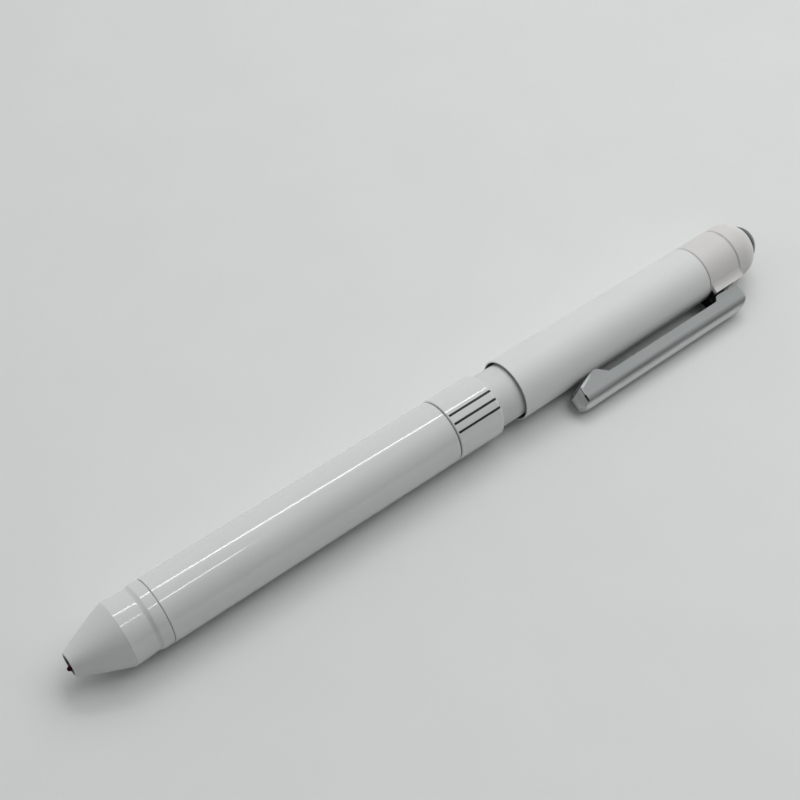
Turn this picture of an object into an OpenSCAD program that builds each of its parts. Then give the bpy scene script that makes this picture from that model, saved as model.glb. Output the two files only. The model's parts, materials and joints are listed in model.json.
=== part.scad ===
// Twist-action multi pen, lying on a desk: two ballpoint refills and one pencil behind a single mouth.
// The rear barrel turns a cam that picks the refill, slides forward to knock, and carries a sprung clip.
// Local frame: z runs from the mouth to the tail, angle 0 is the clip's side. lay() puts it on the desk.

/* [Front barrel] */
// Outside diameter of the front barrel
barrel_d = 10.8; // [10.6:0.1:11.6]
// Length of the front barrel between its two seams
barrel_len = 53; // [51:0.5:60]
// Wall of the front barrel
barrel_wall = 0.7; // [0.6:0.05:0.75]

/* [Nose] */
// Length of the rounded cone
cone_len = 8.0; // [7.6:0.1:9]
// Diameter at the back of the rounded cone
cone_d = 10.6; // [10.4:0.05:10.7]
// Height of the cone's outward curve over a straight line
cone_bulge = 0.1; // [0.05:0.05:0.3]
// Diameter of the mouth that the points come out of
mouth_d = 3.0; // [2.9:0.05:3.3]
// Length of the grip part behind the cone
nose_body_len = 4.3; // [4:0.1:7]
// Length of the band beside the barrel seam
nose_band_len = 2.0; // [1.5:0.1:3]

/* [Index ring and neck] */
// Length of the ring that carries the printed lines
ring_len = 8.8; // [7:0.1:10]
// Round on the ring's back edge
ring_round = 0.4; // [0.2:0.05:0.45]
// Length of bare neck between the ring and the rear barrel
neck_len = 4.7; // [4.5:0.1:6]
// Diameter of the neck
neck_d = 9.44; // [9.4:0.02:9.6]

/* [Rear barrel] */
// Length of the rear barrel
rear_len = 42.25; // [42:0.25:50]
// Diameter of the rear barrel's front lip
rear_d = 10.84; // [10.8:0.02:11.2]
// Diameter of the rear barrel's back end
rear_end_d = 10.16; // [10.1:0.02:10.4]
// How far the rear barrel slides forward when it is knocked
knock_travel = 3.5; // [2:0.1:3.6]

/* [Clip] */
// Width of the clip
clip_w = 4.0; // [3.8:0.1:4.4]
// Thickness of the clip's sheet
clip_t = 0.6; // [0.5:0.05:0.65]
// Reach of the clip in front of its pivot
clip_reach = 35.25; // [33:0.25:38]
// Distance from the pen's axis to the clip's outer face
clip_out = 10; // [9.7:0.05:10.2]
// Angle of the clip below level when the pen lies on the desk
clip_angle = 23.5; // [20:0.5:27]

/* [Clip ring and crown] */
// Length of the clip ring
clip_ring_len = 6.95; // [6.8:0.05:8.5]
// Diameter of the clip ring
clip_ring_d = 10.2; // [10.1:0.02:10.4]
// Length of the crown's white shell
crown_len = 5.25; // [5:0.05:7]
// Diameter of the crown at its seam
crown_d = 10.1; // [10:0.02:10.2]
// Diameter of the metal dome in the crown's end
disc_d = 6.6; // [6.4:0.05:6.7]

/* [Refills] */
// Diameter of a refill tube
refill_d = 2.35; // [2.3:0.01:2.36]
// Length of a refill from its ball to its tail
refill_len = 67; // [66:0.5:68]
// How far a point stands out of the mouth when it is picked
tip_out = 1.6; // [1.4:0.05:1.9]
// Travel of a refill between picked and put away
travel = 6; // [5.8:0.1:6.2]

/* [Hidden] */
$fn = 96;
seam = 0.05;
run = 0.05;
barrel_r = barrel_d / 2;
bore_r = barrel_r - barrel_wall;
mouth_r = mouth_d / 2;
rim_tube = 0.28;
cone_r = cone_d / 2;

// Stations along the pen, measured from the mouth
z_cone = cone_len;
z_groove = z_cone + nose_body_len;
z_barrel = z_groove + nose_band_len + seam;
z_barrel_end = z_barrel + barrel_len;
z_ring = z_barrel_end + 0.2;
z_ring_end = z_ring + ring_len;
z_rear = z_ring_end + neck_len;
z_rear_end = z_rear + rear_len;
z_clip_ring = z_rear_end + 2 * seam;
z_clip_ring_end = z_clip_ring + clip_ring_len;
z_crown = z_clip_ring_end + 2 * seam;
z_crown_end = z_crown + crown_len;
disc_rise = 2.5;

// Index ring, neck and thread
ring_r = barrel_r + 0.05;
neck_r = neck_d / 2;
seat_r = neck_r + 0.08;
thread_r = bore_r - 2 * run;
thread_len = 7.4;
z_thread = z_barrel_end - thread_len;
sleeve_in_r = thread_r - 0.38;
sleeve_back_r = neck_r - 0.15;

// The three refills: their angles, how far each has to go, and the lean that brings a point to the mouth
pick_angle = 120;
rise_per_deg = travel / pick_angle;
red_angle = 0;
black_angle = -120;
pencil_angle = 120;
red_turn = 20;
black_turn = pick_angle - red_turn;
red_to_go = red_turn * rise_per_deg;
black_to_go = black_turn * rise_per_deg;
pencil_to_go = travel;
refill_r = refill_d / 2;
slot_r = 2.3;
away_r = 2.6;
socket_half = 2.7;
tail_gap = 0.2;
pivot_back = refill_len - socket_half + tail_gap;
point_len = 10;

// Sliders, carrier, springs and cam
socket_r = refill_r + 0.125;
slider_r = socket_r + 0.22;
slide_bore_r = slider_r + 0.06;
carrier_r = sleeve_in_r - run;
carrier_end = z_rear + 3.2;
z_peak = carrier_end + 0.6;
cam_gap = 0.3;
slider_front_out = pivot_back - socket_half - tip_out;
slider_len = z_peak - cam_gap - slider_front_out;
spring_min = 8;
carrier_wall = 1.2;
carrier_front = slider_front_out - spring_min - carrier_wall;
z_bores = slider_front_out + 2.7;
chamber_r = carrier_r - 0.25;
wire_r = 0.11;
coil_rings = 10;
spring_r = (refill_r + 0.03) / cos(180 / coil_rings) + wire_r;
finger_r = 0.5;
finger_in = slot_r + 0.4;
finger_out = slot_r + 1.35;
cam_in_r = finger_in - 0.2;
cam_out_r = carrier_r - 0.25;
cam_rest = -red_turn;
z_cam_back = z_peak + travel + 2;
shaft_spigot_r = 1.5;

// Shaft, retainer, knock spring and drive sleeve
shaft_r = cam_out_r - 0.8;
z_collar = z_cam_back + seam;
collar_len = 1.1;
z_retainer = z_collar + collar_len + cam_gap;
retainer_len = 1.5;
sleeve_end = z_retainer + retainer_len + 2 * seam;
knock_wire_r = 0.22;
knock_spring_len = 7.8;
knock_turns = 6;
knock_r = shaft_r + 0.65;
z_drive = sleeve_end + knock_spring_len + 0.1;
drive_len = 9.5;
rear_bore_r = rear_end_d / 2 - 0.33;
rear_lip_bore_r = rear_d / 2 - 0.32;
rear_step = 16.2;
drive_r = rear_bore_r - run;
rib_r = shaft_r + 0.55;
rib_w = 1.2;
rib_count = 4;
z_head = z_drive + drive_len + cam_gap;
head_len = 1.8;
head_r = drive_r - 0.65;

// Tail: clip ring, eraser holder, eraser and crown
clip_ring_r = clip_ring_d / 2;
tail_bore_r = clip_ring_r - 0.95;
spigot_len = 4;
spigot_r = rear_bore_r - run;
holder_r = 2.9;
holder_in_r = 2.55;
holder_back = 3.8;
z_holder = z_rear_end - holder_back;
z_holder_top = z_crown + 1.3;
eraser_r = holder_in_r - run;
eraser_end = z_crown + crown_len - 1.7;
crown_r = crown_d / 2;
crown_in_r = 3.2;
plug_len = 4.2;
plug_r = tail_bore_r - 2 * run;
crown_round = 4.0;
disc_r = disc_d / 2;

// Clip: stations from its pivot, distances from the pen's axis
z_pivot = z_clip_ring + 2.15;
pivot_out = 7.2;
shelf_out = 5.4;
flare_r = 2.2;
lug_half = clip_w / 2 + 1;
clip_back = 3.85;
clip_edge = 6.6;
clip_bump_out = 4.95;
clip_back_round = 3.2;
clip_front_round = 1.6;
clip_heel_round = 0.8;
clip_toe_round = clip_w / 2 - 0.1;
clip_toe_out = clip_edge + 0.45;
slit_from_toe = 1.3;
clip_slant_top = [clip_bump_out + 0.05, 4.75 - clip_reach];
clip_slant_end = [clip_edge - 0.35, 1.6 - clip_reach];
bend_r = 1.8;
boss_half = clip_w / 2 - clip_t - 0.25;
pin_r = 0.5;
pin_seat = 0.25;
foot_in = 4.6;
foot_half = 0.7;
plate_t = 0.3;
block_out = 7.0;
block_reach = 0.5;
clip_spring_z = z_pivot + 1.85;
clip_spring_r = 0.6;
clip_wire_r = 0.12;

// The desk frame
z_mid = (z_crown_end + disc_rise - tip_out + red_to_go) / 2;
axis_z = ring_r;
corner_out = clip_out - bend_r;
corner_side = clip_w / 2 - bend_r;
clip_far = corner_out * cos(clip_angle) + corner_side * sin(clip_angle) + bend_r;
axis_y = (clip_far - ring_r) / 2;

// From the pen's own frame to the desk frame
module lay() {
    translate([-z_mid, axis_y, axis_z])
        rotate([clip_angle - 90, 0, 0])
            rotate([0, 90, 0])
                children();
}

// A round solid from z0 to z1
module rod(r, z0, z1) {
    translate([0, 0, z0])
        cylinder(r = r, h = z1 - z0);
}

// A round solid that tapers from r0 to r1
module taper(r0, r1, z0, z1) {
    translate([0, 0, z0])
        cylinder(r1 = r0, r2 = r1, h = z1 - z0);
}

// A tube from z0 to z1
module tube(r_out, r_in, z0, z1) {
    difference() {
        rod(r_out, z0, z1);
        rod(r_in, z0 - 1, z1 + 1);
    }
}

// A round solid with both edges broken by a small chamfer
module soft_rod(r, z0, z1, edge) {
    taper(r - edge, r, z0, z0 + edge);
    rod(r, z0 + edge, z1 - edge);
    taper(r, r - edge, z1 - edge, z1);
}

// One unbroken wire wound about z
module coil(r, wire, turns, length) {
    per_turn = coil_rings;
    sides = 6;
    rings = turns * per_turn;
    pitch = (length - 2 * wire) / turns;
    lead = atan(pitch / (2 * PI * r));
    points = [for (i = [0:rings], j = [0:sides - 1])
        let (a = i * 360 / per_turn,
             b = j * 360 / sides,
             q = r + wire * cos(b),
             t = -wire * sin(b) * sin(lead))
        [q * cos(a) - t * sin(a),
         q * sin(a) + t * cos(a),
         wire + i * pitch / per_turn + wire * sin(b) * cos(lead)]];
    skin = [for (i = [0:rings - 1], j = [0:sides - 1], k = [0:1])
        let (a = i * sides + j,
             b = i * sides + (j + 1) % sides)
        k == 0 ? [a, a + sides, b + sides] : [a, b + sides, b]];
    front = [for (j = [0:sides - 1]) j];
    back = [for (j = [sides - 1:-1:0]) rings * sides + j];
    echo(coil_gap = pitch * cos(lead) - 2 * wire);
    polyhedron(points = points, faces = concat(skin, [front, back]), convexity = 10);
}

// A refill's own frame: at its slot, leaned about its socket so that its point is lean_r from the axis
module at_refill(angle, to_go) {
    lean_r = away_r * to_go / travel;
    lean = asin((slot_r - lean_r) / pivot_back);
    rotate([0, 0, angle])
        translate([slot_r, 0, pivot_back - tip_out + to_go])
            rotate([0, lean, 0])
                translate([0, 0, -pivot_back])
                    children();
}

// A slider's own frame: straight in its bore, z = 0 at its front face
module at_slider(angle, to_go) {
    rotate([0, 0, angle])
        translate([slot_r, 0, slider_front_out + to_go])
            children();
}

// Outside of the nose: rounded lip, curved cone, grip part, groove and band
module nose_outline() {
    chord = sqrt(pow(cone_len - rim_tube, 2) + pow(cone_r - mouth_r - 2 * rim_tube, 2));
    arc_r = (chord * chord / 4 + cone_bulge * cone_bulge) / (2 * cone_bulge);
    slope = atan2(cone_r - mouth_r - 2 * rim_tube, cone_len - rim_tube);
    mid_r = (cone_r + mouth_r) / 2 + rim_tube;
    mid_z = (cone_len + rim_tube) / 2;
    back = arc_r - cone_bulge;
    z_band_end = z_barrel - seam;
    intersection() {
        translate([0, rim_tube])
            square([cone_r, cone_len - rim_tube]);
        translate([mid_r - back * cos(slope), mid_z + back * sin(slope)])
            circle(r = arc_r, $fn = 360);
    }
    translate([mouth_r + rim_tube, rim_tube])
        circle(r = rim_tube);
    polygon([[0, cone_len], [cone_r, cone_len], [barrel_r - 0.28, z_groove - 0.75],
        [barrel_r - 0.3, z_groove - 0.5], [barrel_r - 0.22, z_groove - 0.2], [barrel_r - 0.09, z_groove + 0.08],
        [barrel_r - 0.045, z_groove + 0.28], [barrel_r - 0.04, z_band_end - 0.14],
        [barrel_r - 0.18, z_band_end], [bore_r - run, z_band_end],
        [bore_r - run, z_barrel + 6.4], [bore_r - 0.35, z_barrel + 6.8], [0, z_barrel + 6.8]]);
}

// Hollow of the nose
module nose_hollow() {
    thread_in = bore_r - run - 0.5;
    polygon([[0, -1], [mouth_r, -1], [mouth_r, rim_tube], [mouth_r + 0.4, rim_tube + 0.7],
        [mouth_r + 1.05, rim_tube + 1.9], [mouth_r + 1.75, rim_tube + 3.9],
        [mouth_r + 2.35, cone_len - 1.7], [thread_in - 0.1, cone_len + 1], [thread_in, z_barrel + 8],
        [0, z_barrel + 8]]);
}

module nose_cone() {
    color([0.93, 0.93, 0.92])
        lay()
            rotate_extrude()
                difference() {
                    nose_outline();
                    nose_hollow();
                }
}

module front_barrel() {
    color([0.94, 0.94, 0.93])
        lay()
            difference() {
                soft_rod(barrel_r, z_barrel, z_barrel_end, 0.12);
                rod(bore_r, z_barrel - 1, z_barrel_end + 1);
            }
}

module index_ring() {
    color([0.95, 0.95, 0.94])
        lay()
            difference() {
                rotate_extrude() {
                    polygon([[0, z_ring], [ring_r - 0.12, z_ring], [ring_r, z_ring + 0.12],
                        [ring_r, z_ring_end - ring_round], [ring_r - ring_round, z_ring_end - ring_round],
                        [ring_r - ring_round, z_ring_end], [0, z_ring_end]]);
                    translate([ring_r - ring_round, z_ring_end - ring_round])
                        circle(r = ring_round);
                }
                rod(seat_r + run, z_ring - 1, z_ring_end + 1);
            }
}

// Threaded spigot, ring seat and bare neck in one sleeve
module neck_sleeve() {
    color([0.9, 0.9, 0.89])
        lay()
            difference() {
                union() {
                    taper(thread_r - 0.3, thread_r, z_thread, z_thread + 0.4);
                    rod(thread_r, z_thread + 0.4, z_ring);
                    rod(seat_r, z_barrel_end + seam, z_ring_end - 0.2);
                    rod(neck_r, z_ring_end - 0.3, carrier_end);
                    rod(sleeve_back_r, carrier_end - 0.1, sleeve_end);
                }
                rod(sleeve_in_r, z_thread - 1, sleeve_end + 1);
            }
}

// Moulded carrier: front wall, spring chamber, and one bore for each slider
module carrier() {
    flange_r = thread_r - 0.15;
    hole_r = refill_r + 0.15;
    lean_in = 0.5;
    color([0.75, 0.76, 0.77])
        lay()
            difference() {
                union() {
                    soft_rod(flange_r, carrier_front, z_thread - seam, 0.3);
                    rod(carrier_r, carrier_front + 1, carrier_end);
                }
                rod(chamber_r, carrier_front + carrier_wall, z_bores);
                for (a = [red_angle, black_angle, pencil_angle])
                    rotate([0, 0, a]) {
                        translate([slot_r, 0, 0])
                            rod(slide_bore_r, z_bores - 1, carrier_end + 1);
                        translate([slot_r, 0, 0])
                            rod(hole_r, carrier_front - 1, z_bores - 1);
                        translate([slot_r - lean_in, 0, 0])
                            rod(hole_r, carrier_front - 1, z_bores - 1);
                        translate([slot_r - lean_in, -hole_r, carrier_front - 1])
                            cube([lean_in, 2 * hole_r, carrier_wall + 2]);
                    }
            }
}

// Refill tube with its shoulder, open at the tail
module refill_tube() {
    difference() {
        union() {
            taper(refill_r - 0.3, refill_r, point_len - 3, point_len);
            rod(refill_r, point_len, refill_len);
        }
        rod(refill_r - 0.42, point_len - 4, refill_len + 1);
    }
}

// Metal point with its ball, plugged into the tube
module refill_point() {
    ball_r = 0.36;
    shoulder_r = 0.7;
    neck_point_r = 0.8;
    plug_point_r = refill_r - 0.42;
    translate([0, 0, ball_r])
        sphere(r = ball_r);
    taper(ball_r, shoulder_r, 0.3, 1.0);
    taper(shoulder_r, neck_point_r, 1.0, 2.4);
    rod(neck_point_r, 2.4, point_len - 3);
    rod(plug_point_r, point_len - 3.2, point_len + 4);
}

module red_refill_tube() {
    color([0.72, 0.16, 0.16])
        lay()
            at_refill(red_angle, red_to_go)
                refill_tube();
}

module red_refill_point() {
    color([0.45, 0.2, 0.2])
        lay()
            at_refill(red_angle, red_to_go)
                refill_point();
}

module black_refill_tube() {
    color([0.16, 0.16, 0.17])
        lay()
            at_refill(black_angle, black_to_go)
                refill_tube();
}

module black_refill_point() {
    color([0.7, 0.68, 0.6])
        lay()
            at_refill(black_angle, black_to_go)
                refill_point();
}

// Lead tube of the pencil, with the bore for its lead
module pencil_tube() {
    color([0.8, 0.81, 0.82])
        lay()
            at_refill(pencil_angle, pencil_to_go)
                difference() {
                    rod(refill_r, point_len, refill_len);
                    rod(refill_r - 0.5, point_len - 1, refill_len - 3);
                }
}

// Cone and lead pipe of the pencil
module pencil_tip() {
    pipe_r = 0.42;
    lead_bore_r = 0.3;
    color([0.7, 0.71, 0.72])
        lay()
            at_refill(pencil_angle, pencil_to_go)
                difference() {
                    union() {
                        rod(pipe_r, 0, 3);
                        taper(0.6, refill_r, 2.8, 6.5);
                        rod(refill_r, 6.5, point_len - seam);
                        rod(refill_r - 0.55, point_len - 1, point_len + 4);
                    }
                    rod(lead_bore_r, -1, point_len + 5);
                }
}

module pencil_lead() {
    lead_r = 0.25;
    color([0.15, 0.15, 0.16])
        lay()
            at_refill(pencil_angle, pencil_to_go)
                rod(lead_r, 0.2, refill_len - 8);
}

// Slider: socket with a round window across it at the front, cam finger at the back
module slider_shape() {
    finger_z = slider_len - 3.2;
    window_r = 0.45;
    difference() {
        union() {
            soft_rod(slider_r, 0, finger_z, 0.12);
            translate([finger_in - slot_r, -finger_r, finger_z - 0.5])
                cube([finger_out - finger_in, 2 * finger_r, slider_len - finger_r - finger_z + 0.5]);
            translate([finger_in - slot_r, 0, slider_len - finger_r])
                rotate([0, 90, 0])
                    cylinder(r = finger_r, h = finger_out - finger_in);
        }
        rod(socket_r, -1, 2 * socket_half);
        translate([0, 0, socket_half])
            rotate([90, 0, 0])
                cylinder(r = window_r, h = 4 * slider_r, center = true);
    }
}

module red_slider() {
    color([0.75, 0.2, 0.2])
        lay()
            at_slider(red_angle, red_to_go)
                slider_shape();
}

module black_slider() {
    color([0.2, 0.2, 0.21])
        lay()
            at_slider(black_angle, black_to_go)
                slider_shape();
}

module pencil_slider() {
    color([0.6, 0.62, 0.64])
        lay()
            at_slider(pencil_angle, pencil_to_go)
                slider_shape();
}

// Return spring around a refill, from the carrier's front wall to the slider
module return_spring(angle, to_go) {
    gap = 0.1;
    turns = 10;
    seat = carrier_front + carrier_wall;
    length = slider_front_out + to_go - seat - 2 * gap;
    from_tip = seat + gap + tip_out - to_go;
    at_refill(angle, to_go)
        translate([0, 0, from_tip])
            coil(spring_r, wire_r, turns, length);
}

module red_spring() {
    color([0.7, 0.71, 0.72])
        lay()
            return_spring(red_angle, red_to_go);
}

module black_spring() {
    color([0.7, 0.71, 0.72])
        lay()
            return_spring(black_angle, black_to_go);
}

module pencil_spring() {
    color([0.7, 0.71, 0.72])
        lay()
            return_spring(pencil_angle, pencil_to_go);
}

// Height of the cam's face over its peak, at an angle from the peak
function cam_rise(a) = min(abs(a), pick_angle) * rise_per_deg;

// Cam ring: a peak, one straight ramp each way, and a flat at the back of the turn
module selector_cam() {
    steps = 72;
    back = z_cam_back - 2 + seam;
    points = [for (i = [0:steps - 1])
        let (a = i * 360 / steps,
             from_peak = a > 180 ? a - 360 : a,
             z = z_peak + cam_rise(from_peak),
             c = cos(a + cam_rest),
             s = sin(a + cam_rest))
        each [[cam_in_r * c, cam_in_r * s, z], [cam_out_r * c, cam_out_r * s, z],
            [cam_out_r * c, cam_out_r * s, back + 1], [cam_in_r * c, cam_in_r * s, back + 1]]];
    faces = [for (i = [0:steps - 1], j = [0:3])
        let (m = (i + 1) % steps,
             k = (j + 1) % 4)
        each [[4 * i + j, 4 * i + k, 4 * m + k], [4 * i + j, 4 * m + k, 4 * m + j]]];
    color([0.55, 0.57, 0.6])
        lay() {
            polyhedron(points = points, faces = faces, convexity = 6);
            tube(cam_out_r - 0.3, shaft_spigot_r + run, back + 0.5, z_cam_back);
        }
}

// Shaft: spigot in the cam, collar, plain part, and ribs that drive the rear barrel
module cam_shaft() {
    color([0.62, 0.63, 0.65])
        lay() {
            rod(shaft_spigot_r, z_cam_back - 1.9, z_collar + 0.1);
            rod(cam_out_r, z_collar, z_collar + collar_len);
            rod(shaft_r, z_collar + collar_len - 0.1, z_head);
            for (i = [0:rib_count - 1])
                rotate([0, 0, i * 360 / rib_count + 45])
                    translate([shaft_r - 0.6, -rib_w / 2, z_drive + 0.6])
                        cube([rib_r - shaft_r + 0.6, rib_w, drive_len - 1]);
            rod(1.2, z_head - 0.1, z_head + head_len - 0.3);
        }
}

// Head that keeps the rear barrel on the shaft
module shaft_head() {
    color([0.66, 0.67, 0.68])
        lay()
            difference() {
                soft_rod(head_r, z_head + seam, z_head + head_len, 0.25);
                rod(1.2 + run, z_head - 1, z_head + head_len - 0.25);
            }
}

// Ring in the sleeve's back end that keeps the cam in
module retainer_ring() {
    color([0.7, 0.71, 0.72])
        lay()
            tube(sleeve_in_r - run, shaft_r + 0.1, z_retainer, z_retainer + retainer_len);
}

module knock_spring() {
    color([0.72, 0.73, 0.74])
        lay()
            translate([0, 0, sleeve_end + 0.1])
                coil(knock_r, knock_wire_r, knock_turns, knock_spring_len - 0.2);
}

// Sleeve in the rear barrel, grooved for the shaft's ribs
module drive_sleeve() {
    groove_gap = 0.08;
    color([0.82, 0.82, 0.82])
        lay()
            difference() {
                soft_rod(drive_r, z_drive, z_drive + drive_len, 0.2);
                rod(shaft_r + 0.1, z_drive - 1, z_drive + drive_len + 1);
                for (i = [0:rib_count - 1])
                    rotate([0, 0, i * 360 / rib_count + 45])
                        translate([0, -rib_w / 2 - groove_gap, z_drive - 1])
                            cube([rib_r + groove_gap, rib_w + 2 * groove_gap, drive_len + 2]);
            }
}

// Rear barrel: slightly tapered, wide bore over the neck, close bore behind it
module rear_barrel() {
    color([0.93, 0.93, 0.92])
        lay()
            difference() {
                union() {
                    taper(rear_d / 2 - 0.04, rear_d / 2, z_rear, z_rear + 0.05);
                    taper(rear_d / 2, rear_end_d / 2, z_rear + 0.05, z_rear_end - 0.08);
                    taper(rear_end_d / 2, rear_end_d / 2 - 0.08, z_rear_end - 0.08, z_rear_end);
                }
                taper(rear_lip_bore_r + 0.12, rear_lip_bore_r, z_rear - 0.01, z_rear + 0.4);
                rod(rear_lip_bore_r, z_rear - 1, z_rear + rear_step);
                taper(rear_lip_bore_r, rear_bore_r, z_rear + rear_step - 0.01, z_rear + rear_step + 0.3);
                rod(rear_bore_r, z_rear + rear_step, z_rear_end + 1);
            }
}

// Cross-section of the lug that flares out of the clip ring
module lug_section() {
    fillet_side = lug_half + flare_r;
    bite = 0.04;
    fillet_out = sqrt(pow(clip_ring_r + flare_r - bite, 2) - pow(fillet_side, 2));
    root = atan2(fillet_side, fillet_out) + 2;
    root_out = clip_ring_r * cos(root);
    root_side = clip_ring_r * sin(root);
    difference() {
        polygon([[0, 0], [root_out, -root_side], [fillet_out, -lug_half], [shelf_out, -lug_half],
            [shelf_out, lug_half], [fillet_out, lug_half], [root_out, root_side]]);
        for (m = [-1, 1])
            translate([fillet_out, m * fillet_side])
                circle(r = flare_r);
    }
}

// Clip ring: spigot in the rear barrel, and a flared lug with a pocket for the clip's bracket
module clip_ring() {
    color([0.91, 0.9, 0.89])
        lay()
            difference() {
                union() {
                    soft_rod(clip_ring_r, z_clip_ring, z_clip_ring_end, 0.14);
                    rod(spigot_r, z_rear_end - spigot_len, z_clip_ring + 0.1);
                    translate([0, 0, z_clip_ring + plate_t + seam])
                        linear_extrude(height = clip_ring_len - plate_t - seam)
                            lug_section();
                }
                rod(tail_bore_r, z_rear_end - spigot_len - 1, z_clip_ring_end + 1);
                translate([foot_in - seam, -foot_half - seam, z_pivot - foot_half - seam])
                    cube([pivot_out, 2 * foot_half + 2 * seam, 2 * foot_half + 2 * seam]);
            }
}

// Bracket that the clip turns on: foot in the lug, plate over its front, block under the clip, pin boss
module clip_bracket() {
    side = clip_w / 2 + 0.2;
    color([0.1, 0.1, 0.11])
        lay()
            difference() {
                union() {
                    translate([foot_in, -foot_half, z_pivot - foot_half])
                        cube([pivot_out - foot_in, 2 * foot_half, 2 * foot_half]);
                    translate([shelf_out + seam, -boss_half, z_clip_ring])
                        cube([block_out - shelf_out - seam, 2 * boss_half, z_pivot + 1 - z_clip_ring]);
                    translate([rear_end_d / 2 + 0.1, -boss_half, z_clip_ring - block_reach])
                        cube([block_out - rear_end_d / 2 - 0.1, 2 * boss_half, block_reach + plate_t]);
                    translate([shelf_out + seam, -boss_half, z_pivot - 1])
                        cube([pivot_out - shelf_out - seam, 2 * boss_half, 2]);
                    translate([pivot_out, boss_half, z_pivot])
                        rotate([90, 0, 0])
                            cylinder(r = 1, h = 2 * boss_half);
                    translate([0, 0, z_clip_ring])
                        linear_extrude(height = plate_t)
                            intersection() {
                                lug_section();
                                translate([0, -side])
                                    square([shelf_out + 1, 2 * side]);
                            }
                }
                rod(clip_ring_r + seam, z_clip_ring - 1, z_clip_ring + plate_t + seam);
                translate([pivot_out, clip_w, z_pivot])
                    rotate([90, 0, 0])
                        cylinder(r = pin_r + run, h = 2 * clip_w);
            }
}

// A quarter of a disc
module quarter(r) {
    intersection() {
        circle(r = r);
        translate([-0.01, -0.01])
            square(r + 1);
    }
}

// Side view of the clip: x is the distance from the axis, y the distance behind the pivot
module clip_side() {
    front = -clip_reach;
    back = clip_back;
    polygon([[clip_out, front + clip_front_round], [clip_out, back - clip_back_round],
        [clip_out - clip_back_round, back], [5.9, back], [5.72, -1.2], [5.8, -1.7], [clip_edge, -2.3],
        [clip_edge, front + 7.65], [clip_bump_out + 0.24, front + 5.96], [clip_bump_out + 0.03, front + 5.5],
        [clip_bump_out, front + 5.15], clip_slant_top, clip_slant_end, [clip_edge - 0.25, front + 1.2],
        [clip_toe_out, front], [clip_out - clip_front_round, front]]);
    translate([clip_out - clip_front_round, front + clip_front_round])
        mirror([0, 1])
            quarter(clip_front_round);
    translate([clip_out - clip_back_round, back - clip_back_round])
        quarter(clip_back_round);
}

// Hollow of the clip in the same side view, open towards the barrel
module clip_hollow_side() {
    front = -clip_reach + clip_t;
    back = clip_back - clip_t;
    polygon([[0, front], [clip_out - clip_front_round, front],
        [clip_out - clip_t, front + clip_front_round - clip_t],
        [clip_out - clip_t, back - clip_back_round + clip_t],
        [clip_out - clip_back_round, back], [0, back]]);
    translate([clip_out - clip_front_round, front + clip_front_round - clip_t])
        circle(r = clip_front_round - clip_t);
    translate([clip_out - clip_back_round, back - clip_back_round + clip_t])
        circle(r = clip_back_round - clip_t);
}

// Section of the clip, drawn in by an inset: a bar with its two outer edges rounded
module clip_section(inset) {
    half = clip_w / 2 - inset;
    bend = bend_r - inset;
    translate([0, -half])
        square([clip_out - bend_r, 2 * half]);
    translate([clip_out - bend_r - 0.01, bend - half])
        square([bend + 0.01, 2 * half - 2 * bend]);
    for (m = [-1, 1])
        translate([clip_out - bend_r, m * (half - bend)])
            circle(r = bend);
}

// Plan of the clip, drawn in by an inset: y along the pen, a round toe and small heel corners
module clip_plan(inset) {
    half = clip_w / 2 - inset;
    toe = clip_toe_round - inset;
    heel = clip_heel_round - inset;
    front = -clip_reach + inset;
    back = clip_back - inset;
    translate([-half, front + toe])
        square([2 * half, back - front - toe - heel]);
    translate([toe - half, front])
        square([2 * half - 2 * toe, toe + 1]);
    translate([heel - half, back - heel - 1])
        square([2 * half - 2 * heel, heel + 1]);
    for (m = [-1, 1]) {
        translate([m * (half - toe), front + toe])
            circle(r = toe);
        translate([m * (half - heel), back - heel])
            circle(r = heel);
    }
}

// Cutters that turn the sheet's edge over, on both sides of the slanted edge in front of the bump
module clip_edge_cutters() {
    over = 0.4;
    drop = over * tan(21);
    half = clip_w / 2;
    slant = clip_slant_end - clip_slant_top;
    for (m = [0, 1])
        mirror([0, m, 0])
            translate([clip_slant_top[0], 0, clip_slant_top[1]])
                rotate([0, atan2(slant[0], slant[1]), 0])
                    linear_extrude(height = norm(slant))
                        polygon([[-1.5 * over, half + 0.5 * drop], [0.5 * over, half + 0.5 * drop],
                            [0.5 * over, half - 1.5 * drop]]);
}

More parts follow.
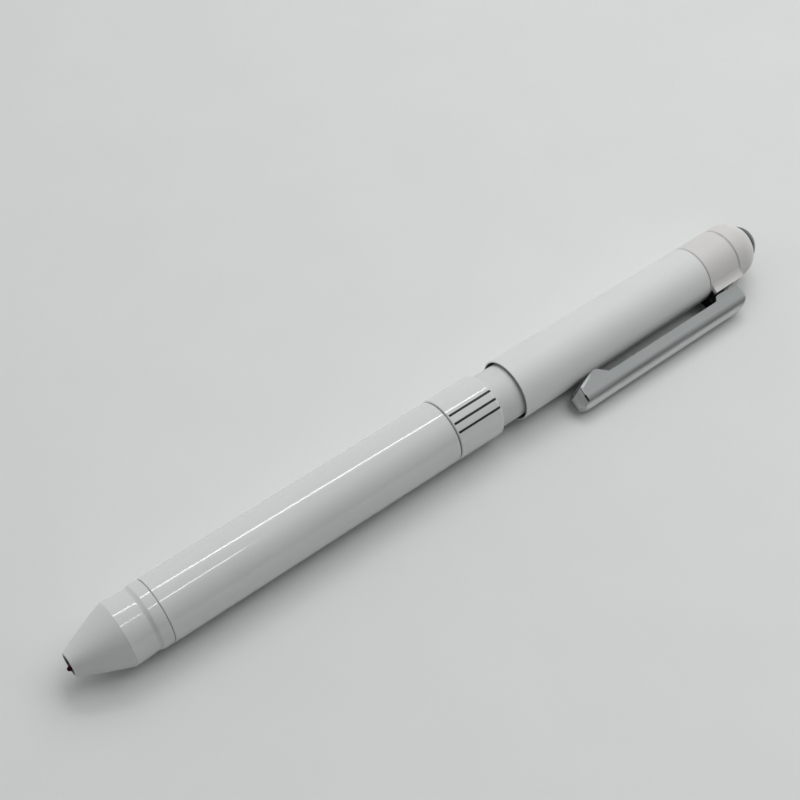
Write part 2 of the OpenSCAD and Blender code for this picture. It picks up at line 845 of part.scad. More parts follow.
// Folded sheet clip: an open tub, slit and relieved behind its toe, hollowed where it meets the barrel
module clip() {
    touch_r = rear_d / 2 - 0.02;
    slit = 0.1;
    relief = 0.4;
    relief_len = 1.15;
    relief_in = clip_out - 2.2;
    slit_z = -clip_reach + slit_from_toe;
    color([0.72, 0.73, 0.74])
        lay()
            translate([0, 0, z_pivot])
                difference() {
                    intersection() {
                        translate([0, clip_w / 2, 0])
                            rotate([90, 0, 0])
                                linear_extrude(height = clip_w)
                                    clip_side();
                        translate([0, 0, -clip_reach - 1])
                            linear_extrude(height = clip_reach + clip_back + 2)
                                clip_section(0);
                        rotate([90, 0, 90])
                            linear_extrude(height = clip_out + 1)
                                clip_plan(0);
                    }
                    intersection() {
                        translate([0, clip_w / 2 - clip_t, 0])
                            rotate([90, 0, 0])
                                linear_extrude(height = clip_w - 2 * clip_t)
                                    clip_hollow_side();
                        translate([0, 0, -clip_reach - 1])
                            linear_extrude(height = clip_reach + clip_back + 2)
                                clip_section(clip_t);
                        rotate([90, 0, 90])
                            linear_extrude(height = clip_out + 1)
                                clip_plan(clip_t);
                    }
                    translate([0, -clip_w, slit_z - slit / 2])
                        cube([relief_in + 0.1, 2 * clip_w, slit]);
                    translate([relief_in, -clip_w, slit_z - relief / 2])
                        cube([relief_len, 2 * clip_w, relief]);
                    rod(touch_r, -clip_reach, -clip_reach + 12);
                    clip_edge_cutters();
                    translate([pivot_out, clip_w / 2 - clip_t + pin_seat, 0])
                        rotate([90, 0, 0])
                            cylinder(r = pin_r + 0.02, h = clip_w - 2 * clip_t + 2 * pin_seat);
                }
}

module clip_pin() {
    reach = clip_w - 2 * clip_t + 2 * pin_seat - 0.04;
    color([0.7, 0.71, 0.72])
        lay()
            translate([pivot_out, reach / 2, z_pivot])
                rotate([90, 0, 0])
                    cylinder(r = pin_r, h = reach);
}

// Small coil behind the pivot that presses the clip's front end on the barrel
module clip_spring() {
    color([0.7, 0.71, 0.72])
        lay()
            translate([shelf_out + 0.05, 0, clip_spring_z])
                rotate([0, 90, 0])
                    coil(clip_spring_r, clip_wire_r, 4, 2.6);
}

// Metal cup that holds the eraser in the tail
module eraser_holder() {
    color([0.72, 0.73, 0.74])
        lay()
            difference() {
                union() {
                    soft_rod(holder_r, z_holder, z_holder_top, 0.1);
                    rod(tail_bore_r - run, z_clip_ring, z_clip_ring + 2);
                }
                rod(holder_in_r, z_holder + 1, z_holder_top + 1);
            }
}

module eraser() {
    color([0.9, 0.9, 0.88])
        lay()
            soft_rod(eraser_r, z_holder + 1.05, eraser_end, 0.3);
}

// Crown: shell with a rounded end, and the plug that holds it in the clip ring
module crown() {
    flat_r = crown_r - crown_round;
    z_round = z_crown_end - sqrt(pow(crown_round, 2) - pow(disc_r + 0.12 - flat_r, 2));
    color([0.92, 0.91, 0.9])
        lay()
            difference() {
                union() {
                    rotate_extrude()
                        intersection() {
                            union() {
                                polygon([[0, z_crown], [crown_r - 0.26, z_crown], [crown_r, z_crown + 0.26],
                                    [crown_r, z_round], [0, z_round]]);
                                translate([flat_r, z_round])
                                    circle(r = crown_round, $fn = 180);
                            }
                            translate([0, z_crown])
                                square([crown_r, crown_len]);
                        }
                    soft_rod(plug_r, z_crown - plug_len, z_crown + 0.5, 0.2);
                }
                rod(crown_in_r, z_crown - plug_len - 1, z_crown_end - 1.4);
                rod(disc_r + run, z_crown_end - 1.4, z_crown_end + 1);
            }
}

// Metal dome in the crown's end
module crown_disc() {
    rim = 0.4;
    dome = disc_rise - rim;
    dome_r = (disc_r * disc_r + dome * dome) / (2 * dome);
    color([0.6, 0.61, 0.62])
        lay()
            rotate_extrude()
                intersection() {
                    translate([0, z_crown_end + disc_rise - dome_r])
                        circle(r = dome_r, $fn = 180);
                    translate([0, z_crown_end - 1.3])
                        square([disc_r, disc_rise + 1.4]);
                }
}

nose_cone();
front_barrel();
index_ring();
neck_sleeve();
carrier();
red_refill_tube();
red_refill_point();
black_refill_tube();
black_refill_point();
pencil_tube();
pencil_tip();
pencil_lead();
red_slider();
black_slider();
pencil_slider();
red_spring();
black_spring();
pencil_spring();
selector_cam();
cam_shaft();
shaft_head();
retainer_ring();
knock_spring();
drive_sleeve();
rear_barrel();
clip_ring();
clip_bracket();
clip();
clip_pin();
clip_spring();
eraser_holder();
eraser();
crown();
crown_disc();
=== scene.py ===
import json
import math

import bpy
from mathutils import Matrix, Vector


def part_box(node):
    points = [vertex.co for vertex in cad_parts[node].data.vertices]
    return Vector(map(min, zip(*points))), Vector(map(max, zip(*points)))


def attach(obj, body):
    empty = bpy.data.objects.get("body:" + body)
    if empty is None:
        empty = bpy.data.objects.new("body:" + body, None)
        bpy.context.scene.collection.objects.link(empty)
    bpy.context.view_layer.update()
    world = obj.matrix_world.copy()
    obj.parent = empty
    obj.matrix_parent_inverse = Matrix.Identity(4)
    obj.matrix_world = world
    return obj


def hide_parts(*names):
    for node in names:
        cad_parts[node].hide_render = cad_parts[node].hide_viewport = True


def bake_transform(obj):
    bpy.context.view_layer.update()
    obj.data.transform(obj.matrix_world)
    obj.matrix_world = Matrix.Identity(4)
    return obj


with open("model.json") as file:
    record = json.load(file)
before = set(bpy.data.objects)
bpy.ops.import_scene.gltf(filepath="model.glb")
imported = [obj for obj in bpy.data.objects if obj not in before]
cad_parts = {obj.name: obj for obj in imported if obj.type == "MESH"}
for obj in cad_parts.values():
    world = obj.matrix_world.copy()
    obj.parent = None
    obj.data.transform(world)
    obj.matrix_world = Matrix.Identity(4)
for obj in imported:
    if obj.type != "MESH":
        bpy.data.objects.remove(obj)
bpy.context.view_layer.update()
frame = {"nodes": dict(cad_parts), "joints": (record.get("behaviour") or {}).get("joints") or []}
NODES = frame["nodes"]
JOINTS = {joint["name"]: joint for joint in frame["joints"]}
MM = 0.001

# The pen's axis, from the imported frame
BARREL_LOW, BARREL_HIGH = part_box("front_barrel")
AXIS_Y = (BARREL_LOW.y + BARREL_HIGH.y) / 2
AXIS_Z = (BARREL_LOW.z + BARREL_HIGH.z) / 2


def axis_point(x):
    """The point of the pen's axis at x."""
    return Vector((x, AXIS_Y, AXIS_Z))


def away_from_axis(place):
    """Unit vector across the pen, from its axis towards a place."""
    return Vector((0, place.y - AXIS_Y, place.z - AXIS_Z)).normalized()


CLIP_SIDE = away_from_axis(Vector(JOINTS["clip_pivot"]["pos_m"]))
ACROSS = Vector((1, 0, 0)).cross(CLIP_SIDE)


def pen_point(x, radius, angle):
    """A point at x along the pen, at a radius and an angle in degrees from the clip's side."""
    turn = math.radians(angle)
    out = math.cos(turn) * CLIP_SIDE + math.sin(turn) * ACROSS
    return axis_point(x) + radius * out


def mesh_object(name, points, faces, material):
    """A smooth-shaded mesh object with one material."""
    mesh = bpy.data.meshes.new(name)
    mesh.from_pydata([tuple(point) for point in points], [], faces)
    mesh.validate()
    mesh.update()
    for face in mesh.polygons:
        face.use_smooth = True
    piece = bpy.data.objects.new(name, mesh)
    bpy.context.scene.collection.objects.link(piece)
    mesh.materials.append(material)
    return piece


def loft(rings):
    """Points and faces of a closed tube through rings of equal count, with a flat cap at each end."""
    count = len(rings[0])
    last = (len(rings) - 1) * count
    points = [point for ring in rings for point in ring]
    faces = []
    for near in range(0, last, count):
        far = near + count
        for j in range(count):
            k = (j + 1) % count
            faces.append((near + j, near + k, far + k, far + j))
    faces.append(tuple(reversed(range(count))))
    faces.append(tuple(last + j for j in range(count)))
    return points, faces


def shade(colour, factor):
    """A colour made darker or lighter."""
    return tuple(channel * factor for channel in colour)


# Sockets of a mix node that carry its two colours and the result
MIX_FIRST = 6
MIX_SECOND = 7
MIX_RESULT = 2


# Building blocks of the materials
class Look:
    """A node material built up round one principled shader."""

    def __init__(self, name, roughness, metallic=0.0):
        self.material = bpy.data.materials.new(name)
        self.material.use_nodes = True
        self.nodes = self.material.node_tree.nodes
        self.links = self.material.node_tree.links
        self.shader = self.nodes["Principled BSDF"]
        self.shader.inputs["Metallic"].default_value = metallic
        self.shader.inputs["Roughness"].default_value = roughness
        coordinates = self.nodes.new("ShaderNodeTexCoord")
        self.place = coordinates.outputs["Object"]
        self.facing = coordinates.outputs["Normal"]

    def link(self, source, target):
        self.links.new(source, target)

    def constant(self, **values):
        """Sets the shader's own sockets, with an underscore for each space in a socket's name."""
        for socket, value in values.items():
            self.shader.inputs[socket.replace("_", " ")].default_value = value

    def colour(self, output):
        self.link(output, self.shader.inputs["Base Color"])

    def rough(self, output):
        self.link(output, self.shader.inputs["Roughness"])

    def metallic(self, output):
        self.link(output, self.shader.inputs["Metallic"])

    def normal(self, output):
        self.link(output, self.shader.inputs["Normal"])

    def vector_math(self, operation, first, second=None):
        node = self.nodes.new("ShaderNodeVectorMath")
        node.operation = operation
        for socket, value in zip(node.inputs, (first, second)):
            if isinstance(value, tuple):
                socket.default_value = value
            elif value is not None:
                self.link(value, socket)
        return node.outputs

    def along(self):
        """The place's x, along the pen."""
        split = self.nodes.new("ShaderNodeSeparateXYZ")
        self.link(self.place, split.inputs["Vector"])
        return split.outputs["X"]

    def to_axis(self):
        """The vector straight across the pen, from the place to the axis."""
        whole = self.vector_math("SUBTRACT", (0, AXIS_Y, AXIS_Z), self.place)["Vector"]
        return self.vector_math("MULTIPLY", whole, (0, 1, 1))["Vector"]

    def axis_distance(self):
        return self.vector_math("LENGTH", self.to_axis())["Value"]

    def facing_in(self):
        """1 where the surface faces the axis, -1 where it faces away from it."""
        inward = self.vector_math("NORMALIZE", self.to_axis())["Vector"]
        return self.vector_math("DOT_PRODUCT", inward, self.facing)["Value"]

    def stretched(self, scale):
        mapping = self.nodes.new("ShaderNodeMapping")
        mapping.inputs["Scale"].default_value = scale
        self.link(self.place, mapping.inputs["Vector"])
        return mapping.outputs["Vector"]

    def noise(self, scale, detail, vector=None):
        texture = self.nodes.new("ShaderNodeTexNoise")
        texture.inputs["Scale"].default_value = scale
        texture.inputs["Detail"].default_value = detail
        self.link(vector or self.place, texture.inputs["Vector"])
        return texture.outputs["Fac"]

    def line_noise(self, value, scale, detail):
        """Noise that changes with one value only."""
        texture = self.nodes.new("ShaderNodeTexNoise")
        texture.noise_dimensions = "1D"
        texture.inputs["Scale"].default_value = scale
        texture.inputs["Detail"].default_value = detail
        self.link(value, texture.inputs["W"])
        return texture.outputs["Fac"]

    def ranged(self, value, low, high, start=0.3, end=0.7):
        """Low where the value is at start, high where it is at end. Noise is mostly from 0.3 to 0.7."""
        remap = self.nodes.new("ShaderNodeMapRange")
        remap.inputs["From Min"].default_value = start
        remap.inputs["From Max"].default_value = end
        remap.inputs["To Min"].default_value = low
        remap.inputs["To Max"].default_value = high
        self.link(value, remap.inputs["Value"])
        return remap.outputs["Result"]

    def mixed(self, share, first, second):
        """A mix of two colours, each given as a tuple or as a node's output."""
        blend = self.nodes.new("ShaderNodeMix")
        blend.data_type = "RGBA"
        self.link(share, blend.inputs["Factor"])
        for socket, value in ((blend.inputs[MIX_FIRST], first), (blend.inputs[MIX_SECOND], second)):
            if isinstance(value, tuple):
                socket.default_value = (*value, 1)
            else:
                self.link(value, socket)
        return blend.outputs[MIX_RESULT]

    def mottled(self, pattern, colour, darkest, lightest):
        """The colour, shaded between two factors by a pattern."""
        return self.mixed(self.ranged(pattern, 0, 1), shade(colour, darkest), shade(colour, lightest))

    def bump(self, height, depth, under=None):
        node = self.nodes.new("ShaderNodeBump")
        node.inputs["Distance"].default_value = depth
        self.link(height, node.inputs["Height"])
        if under is not None:
            self.link(under, node.inputs["Normal"])
        return node.outputs["Normal"]


# Lacquers and mouldings
GLOSS = 0.09
SATIN = 0.34
CONE_SATIN = 0.32


def spray(look, colour, inside=None):
    """Faintly clouded paint with fine orange peel, and a darker colour painted as shade on the walls that
    face the axis.
    """
    paint = look.mottled(look.noise(scale=160, detail=3), colour, 0.985, 1.01)
    if inside is not None:
        # Walls that face the axis take the inside colour: painted shade in the bore and the mouth.
        paint = look.mixed(look.ranged(look.facing_in(), 0, 1, start=0.1, end=0.2), paint, inside)
    look.colour(paint)
    peel = look.bump(look.noise(scale=750, detail=1), depth=4e-7)
    look.normal(look.bump(look.noise(scale=4200, detail=2), depth=1e-7, under=peel))


def lacquer(name, colour, roughness, coat, inside=None):
    """Sprayed white lacquer with a hard clear surface."""
    look = Look(name, roughness)
    spray(look, colour, inside)
    look.rough(look.ranged(look.noise(scale=900, detail=3), roughness * 0.85, roughness * 1.2))
    look.constant(Coat_Weight=coat, Coat_Roughness=0.04)
    return look.material


def nose_finish(name, colour, inside, gloss_from):
    """White lacquer that is satin on the cone, glossy behind it and painted dark inside the mouth, a
    reddish ink tint with painted shade.
    """
    look = Look(name, GLOSS)
    spray(look, colour, inside)
    look.rough(look.ranged(look.along(), CONE_SATIN, GLOSS, start=gloss_from - 0.2 * MM, end=gloss_from))
    look.constant(Specular_IOR_Level=0.8)
    return look.material


def moulding(name, colour, roughness, grain, depth, specular=0.5):
    """Moulded plastic: slight flow marks and the fine grain of the mould."""
    look = Look(name, roughness)
    flow = look.noise(scale=260, detail=3, vector=look.stretched((0.35, 1, 1)))
    look.colour(look.mottled(flow, colour, 0.96, 1.02))
    look.rough(look.ranged(look.noise(grain * 0.4, detail=3), roughness * 0.85, roughness * 1.15))
    look.normal(look.bump(look.noise(grain, detail=3), depth))
    look.constant(Specular_IOR_Level=specular)
    return look.material


# Metals
def drawn_metal(name, colour, roughness, fine):
    """Metal drawn or brushed along the pen: long streaks in colour, gloss and height."""
    look = Look(name, roughness, metallic=1.0)
    streak = look.noise(fine, detail=4, vector=look.stretched((0.02, 1, 1)))
    blotch = look.ranged(look.noise(scale=300, detail=3), 0, 0.25)
    look.colour(look.mixed(blotch, look.mottled(streak, colour, 0.93, 1.04), shade(colour, 0.88)))
    look.rough(look.ranged(streak, roughness * 0.8, roughness * 1.25))
    look.normal(look.bump(streak, depth=6e-7))
    return look.material


def turned_metal(name, colour, roughness, fine):
    """Metal turned on a lathe: fine rings at each place along the pen."""
    look = Look(name, roughness, metallic=1.0)
    ring = look.line_noise(look.along(), fine, detail=3)
    look.colour(look.mottled(ring, colour, 0.9, 1.05))
    look.rough(look.ranged(look.noise(scale=2500, detail=3), roughness * 0.8, roughness * 1.2))
    look.normal(look.bump(ring, depth=1.2e-6))
    return look.material


def spun_metal(name, colour, roughness, fine):
    """A spun disc: rings round the pen's axis and faint handling marks."""
    look = Look(name, roughness, metallic=1.0)
    ring = look.line_noise(look.axis_distance(), fine, detail=4)
    marks = look.ranged(look.noise(scale=900, detail=4), 0, 0.3)
    look.colour(look.mixed(marks, look.mottled(ring, colour, 0.85, 1.1), shade(colour, 0.8)))
    look.rough(look.ranged(ring, roughness * 0.8, roughness * 1.25))
    look.normal(look.bump(ring, depth=2e-6))
    return look.material


def inked_point(name, metal, ink, dry_end):
    """A turned point whose front is coated with dried ink."""
    look = Look(name, roughness=0.35)
    coat = look.ranged(look.along(), 1, 0, start=dry_end - 0.4 * MM, end=dry_end)
    patch = look.ranged(look.noise(scale=2600, detail=3), 0, 1, start=0.4, end=0.6)
    look.colour(look.mixed(coat, metal, look.mixed(patch, shade(ink, 0.6), ink)))
    look.metallic(look.ranged(coat, 1, 0, start=0, end=1))
    look.rough(look.ranged(look.noise(scale=3000, detail=3), 0.25, 0.5))
    look.normal(look.bump(look.noise(scale=5000, detail=3), depth=6e-6))
    look.constant(Specular_IOR_Level=0.1)
    return look.material


# Eraser, lead and print
def rubber(name, colour):
    """Soft eraser rubber with specks and a chalky skin."""
    look = Look(name, roughness=0.85)
    speck = look.ranged(look.noise(scale=3800, detail=2), 0, 1, start=0.62, end=0.72)
    base = look.mottled(look.noise(scale=420, detail=3), colour, 0.95, 1.02)
    look.colour(look.mixed(speck, base, shade(colour, 0.82)))
    look.rough(look.ranged(look.noise(scale=1600, detail=3), 0.75, 0.95))
    look.normal(look.bump(look.noise(scale=2400, detail=4), depth=1.2e-5))
    return look.material


def graphite(name, dark, light):
    """Pencil lead: dark grey with a dull metallic gleam."""
    look = Look(name, roughness=0.45, metallic=0.4)
    look.colour(look.mixed(look.ranged(look.noise(scale=5000, detail=4), 0, 1), dark, light))
    look.rough(look.ranged(look.noise(scale=3500, detail=3), 0.35, 0.6))
    look.normal(look.bump(look.noise(scale=9000, detail=3), depth=3e-6))
    return look.material


def print_ink(name, dark, light):
    """Screen-printed black: slightly uneven and duller than the lacquer under it."""
    look = Look(name, roughness=0.4)
    look.colour(look.mixed(look.ranged(look.noise(scale=5200, detail=3), 0, 1), dark, light))
    look.rough(look.ranged(look.noise(scale=4000, detail=3), 0.3, 0.5))
    look.normal(look.bump(look.noise(scale=7000, detail=2), depth=1e-6))
    return look.material


# Colours
WHITE = (0.696, 0.705, 0.7)
WARM_WHITE = (0.64, 0.628, 0.62)
GREY = (0.62, 0.63, 0.64)
RED = (0.5, 0.045, 0.05)
BLACK = (0.03, 0.03, 0.034)
INK = (0.05, 0.003, 0.011)
# Inside the nose's mouth: a reddish ink tint and painted shade of the deep, unlit mouth.
MOUTH_INK_AND_SHADE = (0.1, 0.06, 0.06)
# Painted shade: the rear barrel's bore is painted dark grey where little light reaches it.
PAINTED_SHADE_INSIDE = (0.1, 0.1, 0.102)
CLIP_SHEET = (0.66, 0.686, 0.684)
TUBE_STEEL = (0.66, 0.67, 0.68)
WIRE_STEEL = (0.62, 0.62, 0.62)
CUP_STEEL = (0.64, 0.65, 0.66)
STEEL = (0.56, 0.57, 0.58)
NICKEL_SILVER = (0.6, 0.57, 0.5)
INKED_SILVER = (0.55, 0.53, 0.47)
DISC_GREY = (0.2, 0.205, 0.21)
ERASER = (0.78, 0.78, 0.76)
LEAD_DARK = (0.05, 0.05, 0.055)
LEAD_LIGHT = (0.13, 0.13, 0.14)
PRINT_DARK = (0.012, 0.012, 0.013)
PRINT_LIGHT = (0.035, 0.035, 0.037)

# Places along the pen where a finish changes
CONE_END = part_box("nose_cone")[0].x + 8 * MM
DRY_INK_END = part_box("red_refill_point")[0].x + 2.2 * MM

# Materials
# Painted light: the white is painted darker on the nose (0.965) and lighter on the ring (1.02), rear barrel
# (1.04) and clip ring and crown (1.08), copying light that falls off towards the nose.
gloss_lacquer = lacquer("gloss_lacquer", WHITE, GLOSS, coat=0.6)
nose_lacquer = nose_finish("nose_lacquer", shade(WHITE, 0.965), MOUTH_INK_AND_SHADE, CONE_END)
ring_lacquer = lacquer("ring_lacquer", shade(WHITE, 1.02), GLOSS, coat=0.6)
satin_lacquer = lacquer("satin_lacquer", shade(WHITE, 1.04), SATIN, coat=0.0, inside=PAINTED_SHADE_INSIDE)
neck_moulding = moulding("neck_moulding", shade(WHITE, 0.96), roughness=0.5, grain=5200, depth=3e-6)
tail_moulding = moulding("tail_moulding", shade(WARM_WHITE, 1.08), roughness=0.36, grain=3200, depth=1.2e-6)
grey_moulding = moulding("grey_moulding", GREY, roughness=0.45, grain=3800, depth=2e-6)
red_moulding = moulding("red_moulding", RED, roughness=0.3, grain=3600, depth=1.5e-6)
black_moulding = moulding("black_moulding", BLACK, roughness=0.32, grain=3600, depth=1.5e-6)
# Painted shade: the clip bracket is near-black with little specular, standing in for the deep shade in
# front of the lug.
painted_shade_bracket = moulding("painted_shade_bracket", shade(BLACK, 0.3), roughness=0.7, grain=3000, depth=4e-6,
                            specular=0.1)
clip_metal = drawn_metal("clip_metal", CLIP_SHEET, roughness=0.42, fine=2600)
tube_metal = drawn_metal("tube_metal", TUBE_STEEL, roughness=0.28, fine=3200)
wire_metal = drawn_metal("wire_metal", WIRE_STEEL, roughness=0.25, fine=6000)
cup_metal = drawn_metal("cup_metal", CUP_STEEL, roughness=0.32, fine=2800)
inner_steel = turned_metal("inner_steel", STEEL, roughness=0.3, fine=9000)
point_metal = turned_metal("point_metal", NICKEL_SILVER, roughness=0.24, fine=14000)
disc_metal = spun_metal("disc_metal", DISC_GREY, roughness=0.3, fine=7000)
ink_point = inked_point("ink_point", INKED_SILVER, INK, DRY_INK_END)
lead_graphite = graphite("lead_graphite", LEAD_DARK, LEAD_LIGHT)
eraser_rubber = rubber("eraser_rubber", ERASER)
index_ink = print_ink("index_ink", PRINT_DARK, PRINT_LIGHT)

NODE_MATERIALS = {
    "nose_cone": nose_lacquer,
    "front_barrel": gloss_lacquer,
    "index_ring": ring_lacquer,
    "neck_sleeve": neck_moulding,
    "rear_barrel": satin_lacquer,
    "clip_ring": tail_moulding,
    "crown": tail_moulding,
    "crown_disc": disc_metal,
    "clip": clip_metal,
    "clip_bracket": painted_shade_bracket,
    "clip_pin": inner_steel,
    "carrier": grey_moulding,
    "selector_cam": grey_moulding,
    "drive_sleeve": grey_moulding,
    "cam_shaft": inner_steel,
    "shaft_head": inner_steel,
    "retainer_ring": inner_steel,
    "red_slider": red_moulding,
    "red_refill_tube": red_moulding,
    "red_refill_point": ink_point,
    "black_slider": black_moulding,
    "black_refill_tube": black_moulding,
    "black_refill_point": point_metal,
    "pencil_slider": grey_moulding,
    "pencil_tube": tube_metal,
    "pencil_tip": point_metal,
    "pencil_lead": lead_graphite,
    "eraser_holder": cup_metal,
    "eraser": eraser_rubber,
}
for node_name, node_material in NODE_MATERIALS.items():
    materials = NODES[node_name].data.materials
    materials.clear()
    materials.append(node_material)


# Broken edges of the folded sheet
def soften_edges(node, width, segments, angle):
    bevel = NODES[node].modifiers.new("broken_edges", "BEVEL")
    bevel.width = width
    bevel.segments = segments
    bevel.limit_method = "ANGLE"
    bevel.angle_limit = math.radians(angle)
    bevel.harden_normals = True


soften_edges("clip", width=0.1 * MM, segments=3, angle=35)


# Printed index lines that wrap over the ring's rounded back edge
def index_lines():
    low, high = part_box("index_ring")
    ring_r = (high.y - low.y) / 2
    edge_r = 0.4 * MM
    lift = 0.006 * MM
    sink = 0.02 * MM
    half_width = 0.195 * MM
    half_steps = 3
    angles = (-98.15, -81.85, -65.65)
    start = low.x + 0.25 * MM
    round_from = high.x - edge_r
    straight_steps = 12
    wrap_steps = 9
    wrap_angle = math.radians(7)

    # Stations of a line: place along the pen, radius and tilt of the surface
    path = []
    for i in range(straight_steps):
        path.append((start + (round_from - start) * i / straight_steps, ring_r, 0.0))
    for i in range(wrap_steps):
        tilt = wrap_angle * i
        path.append((round_from + edge_r * math.sin(tilt), ring_r - edge_r + edge_r * math.cos(tilt), tilt))

    for number, angle in enumerate(angles, 1):
        rings = []
        for x, radius, tilt in path:
            slope = Vector((math.sin(tilt), 0, 0))
            top = []
            bottom = []
            for step in range(-half_steps, half_steps + 1):
                turn = angle + math.degrees(half_width * step / half_steps / ring_r)
                top.append(pen_point(x, radius + lift * math.cos(tilt), turn) + lift * slope)
                bottom.append(pen_point(x, radius - sink * math.cos(tilt), turn) - sink * slope)
            rings.append(top + bottom[::-1])
        points, faces = loft(rings)
        line = mesh_object(f"index_line_{number}", points, faces, index_ink)
        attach(line, "core")


index_lines()


# Springs of round wire with closed end turns
def spring_mesh(name, start, end, start_r, end_r, wire_r, turns):
    """One wire wound from start to end, its first and last turns lying close."""
    per_turn = 32
    sides = 12
    closed = 0.9
    axis = (end - start).normalized()
    side = axis.orthogonal().normalized()
    up = axis.cross(side)
    height = (end - start).length - 2 * wire_r
    close_pitch = 2.12 * wire_r
    open_pitch = (height - 2 * closed * close_pitch) / (turns - 2 * closed)
    rise = wire_r
    rings = []
    for i in range(turns * per_turn + 1):
        turn = i / per_turn
        a = 2 * math.pi * turn
        near_end = min(turn, turns - turn)
        pitch = close_pitch if near_end < closed else open_pitch
        coil_r = start_r + (end_r - start_r) * (rise - wire_r) / (height - 2 * wire_r)
        lead = math.atan(pitch / (2 * math.pi * coil_r))
        out = math.cos(a) * side + math.sin(a) * up
        forward = math.cos(a) * up - math.sin(a) * side
        lift = math.cos(lead) * axis - math.sin(lead) * forward
        centre = start + rise * axis + coil_r * out
        ring = []
        for j in range(sides):
            b = 2 * math.pi * j / sides
            ring.append(centre + wire_r * (math.cos(b) * out + math.sin(b) * lift))
        rings.append(ring)
        rise += pitch / per_turn
    points, faces = loft(rings)
    return mesh_object(name, points, faces, wire_metal)


def spread_blend(piece):
    """Bakes the piece's placement into its mesh."""
    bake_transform(piece)


def middle(node):
    """Mean of a node's points, which lies on the axis of a turned piece."""
    points = [vertex.co for vertex in NODES[node].data.vertices]
    return sum(points, Vector()) / len(points)


RETURN_COIL_R = 1.385 * MM
RETURN_WIRE_R = 0.105 * MM
RETURN_TURNS = 10


def leaning_springs():
    """Springs of the two refills that move, with wide front seats because the refills lean in them."""
    front_coil_r = 1.53 * MM
    front_seat = 2.148 * MM
    back_seat = 2.258 * MM
    for colour in ("red", "black"):
        low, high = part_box(f"{colour}_spring")
        out = away_from_axis(Vector(JOINTS[f"{colour}_lean"]["pos_m"]))
        start = axis_point(low.x) + front_seat * out
        end = axis_point(high.x) + back_seat * out
        piece = spring_mesh(f"{colour}_return_spring", start, end,
                            front_coil_r, RETURN_COIL_R, RETURN_WIRE_R, RETURN_TURNS)
        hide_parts(f"{colour}_spring")
        spread_blend(piece)


leaning_springs()


def pencil_spring():
    """Spring round the pencil, which lies a little aslant and stays put."""
    front = middle("pencil_tip")
    back = middle("pencil_tube")
    way = (back - front) / (back.x - front.x)
    low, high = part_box("pencil_spring")
    start = front + way * (low.x - front.x)
    end = front + way * (high.x - front.x)
    piece = spring_mesh("pencil_return_spring", start, end,
                        RETURN_COIL_R, RETURN_COIL_R, RETURN_WIRE_R, RETURN_TURNS)
    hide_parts("pencil_spring")
    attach(piece, "core")


pencil_spring()


def knock_spring():
    """Spring that pushes the rear barrel back."""
    low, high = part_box("knock_spring")
    wire_r = 0.21 * MM
    coil_r = (high.y - low.y) / 2 - wire_r
    start = axis_point(low.x)
    end = axis_point(high.x)
    piece = spring_mesh("barrel_return_spring", start, end, coil_r, coil_r, wire_r, turns=6)
    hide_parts("knock_spring")
    spread_blend(piece)


knock_spring()


def clip_spring():
    """Spring that presses the clip's front end on the barrel."""
    low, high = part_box("clip_spring")
    centre = (low + high) / 2
    half = 1.3 * MM * CLIP_SIDE
    coil_r = 0.6 * MM
    wire_r = 0.115 * MM
    piece = spring_mesh("clip_press_spring", centre - half, centre + half, coil_r, coil_r, wire_r, turns=4)
    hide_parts("clip_spring")
    spread_blend(piece)


clip_spring()


# Thread ridge on the spigot that the front barrel screws on
def thread_ridge():
    start_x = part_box("neck_sleeve")[0].x + 0.7 * MM
    end_x = BARREL_HIGH.x - 0.5 * MM
    root_r = 4.57 * MM
    crest_r = 4.655 * MM
    pitch = 0.75 * MM
    foot = 0.24 * MM
    flat = 0.06 * MM
    per_turn = 60
    fade_steps = per_turn / 4
    count = int((end_x - start_x) / pitch * per_turn)
    rings = []
    for i in range(count + 1):
        x = start_x + pitch * i / per_turn
        angle = 360 * i / per_turn
        fade = min(1, min(i, count - i) / fade_steps)
        crest = root_r + (crest_r - root_r) * fade
        rings.append([pen_point(x - foot, root_r, angle), pen_point(x - flat, crest, angle),
                      pen_point(x + flat, crest, angle), pen_point(x + foot, root_r, angle)])
    points, faces = loft(rings)
    ridge = mesh_object("thread_ridge", points, faces, neck_moulding)
    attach(ridge, "core")


thread_ridge()


# Plain floor
def floor():
    pale = (0.76, 0.77, 0.765)
    half_side = 1.5
    drop = 0.02 * MM
    look = Look("floor_paper", roughness=0.9)
    look.colour(look.mottled(look.noise(scale=60, detail=3), pale, 0.99, 1.01))
    look.rough(look.ranged(look.noise(scale=300, detail=3), 0.85, 0.95))
    look.normal(look.bump(look.noise(scale=1500, detail=3), depth=4e-6))
    mesh = bpy.data.meshes.new("floor")
    corners = [(x * half_side, y * half_side, -drop) for x, y in ((-1, -1), (1, -1), (1, 1), (-1, 1))]
    mesh.from_pydata(corners, [], [(0, 1, 2, 3)])
    plane = bpy.data.objects.new("floor", mesh)
    bpy.context.scene.collection.objects.link(plane)
    mesh.materials.append(look.material)


floor()


# Soft studio light: a panel overhead, a weak fill in front and two tubes that draw lines on the lacquer
def area_light(name, watts, size, place, run, mirrored):
    """A rectangular light at a place, its long side along run, turned to the middle of the pen."""
    lamp = bpy.data.lights.new(name, "AREA")
    lamp.shape = "RECTANGLE"
    lamp.size, lamp.size_y = size
    lamp.energy = watts
    light = bpy.data.objects.new(name, lamp)
    away = Vector(place).normalized()
    cross = away.cross(Vector(run)).normalized()
    light.matrix_world = Matrix((cross.cross(away), cross, away)).transposed().to_4x4()
    light.location = place
    light.visible_glossy = mirrored
    light.visible_camera = False
    bpy.context.scene.collection.objects.link(light)


def tube(name, watts, length, place, run):
    width = 0.05
    area_light(name, watts, (length, width), place, run, mirrored=True)


def panel(name, watts, size, place):
    area_light(name, watts, size, place, (1, 0, 0), mirrored=False)


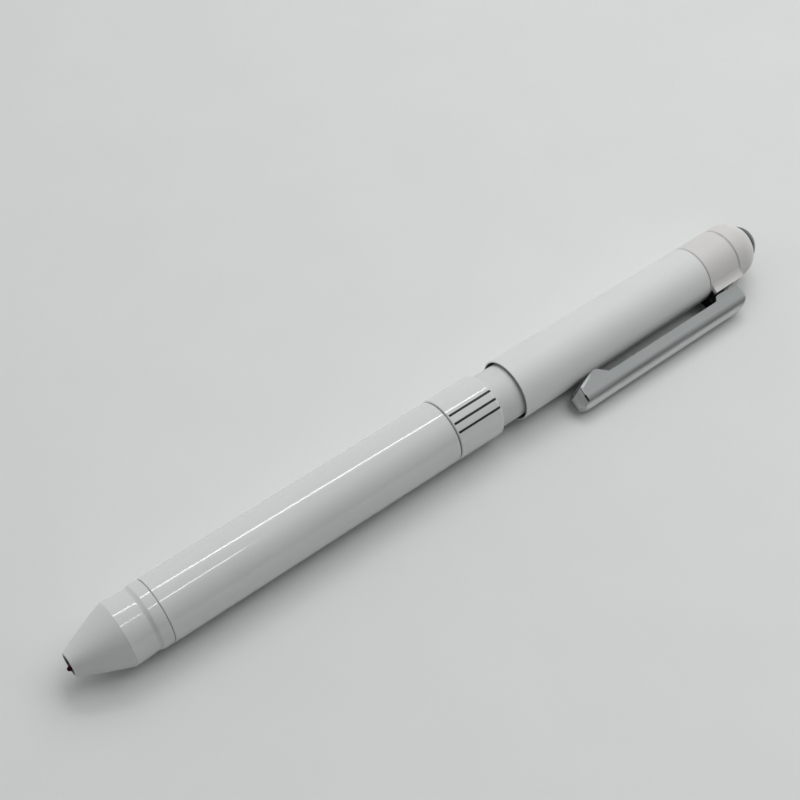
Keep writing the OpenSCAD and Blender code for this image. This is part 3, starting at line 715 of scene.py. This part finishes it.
tube("long_tube", watts=0.66, length=0.495, place=(0.265, 0.39, 0.85), run=(1, -1, 0))
tube("short_tube", watts=0.18, length=0.16, place=(0.125, -0.205, 0.972), run=(1, 0, 0))
panel("top_panel", watts=1.17, size=(0.36, 0.6), place=(0.22, 0.05, 0.45))
panel("front_fill", watts=0.03, size=(0.2, 0.2), place=(0.18, -0.15, 0.17))


def studio_sky(dark, bright, towards, fade_from, fade_to):
    """A plain sky that grows brighter in one direction."""
    world = bpy.data.worlds.new("studio")
    world.use_nodes = True
    nodes = world.node_tree.nodes
    links = world.node_tree.links
    lean = nodes.new("ShaderNodeVectorMath")
    lean.operation = "DOT_PRODUCT"
    lean.inputs[1].default_value = Vector(towards).normalized()
    links.new(nodes.new("ShaderNodeTexCoord").outputs["Generated"], lean.inputs[0])
    share = nodes.new("ShaderNodeMapRange")
    share.interpolation_type = "SMOOTHSTEP"
    share.inputs["From Min"].default_value = fade_from
    share.inputs["From Max"].default_value = fade_to
    links.new(lean.outputs["Value"], share.inputs["Value"])
    blend = nodes.new("ShaderNodeMix")
    blend.data_type = "RGBA"
    blend.inputs[MIX_FIRST].default_value = (*dark, 1)
    blend.inputs[MIX_SECOND].default_value = (*bright, 1)
    links.new(share.outputs["Result"], blend.inputs["Factor"])
    links.new(blend.outputs[MIX_RESULT], nodes["Background"].inputs["Color"])
    bpy.context.scene.world = world


studio_sky(dark=(0.02, 0.02, 0.02), bright=(0.53, 0.538, 0.535), towards=(0.3, 0.95, 0.1),
           fade_from=-0.75, fade_to=0.1)


# Camera at the photograph's view, placed from the front end of the rear barrel
def photo_camera():
    focal_mm = 63.5975
    sensor_mm = 36
    from_rear_barrel = Vector((-0.10288, -0.101988, 0.180264))
    turn = (38.1734, -0.3802, -37.9582)
    lens = bpy.data.cameras.new("camera")
    lens.lens = focal_mm
    lens.sensor_width = sensor_mm
    camera = bpy.data.objects.new("camera", lens)
    camera.location = axis_point(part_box("rear_barrel")[0].x) + from_rear_barrel
    camera.rotation_euler = tuple(math.radians(angle) for angle in turn)
    bpy.context.scene.collection.objects.link(camera)
    bpy.context.scene.camera = camera


photo_camera()
bpy.context.scene.view_settings.view_transform = "Standard"

bpy.context.view_layer.update()
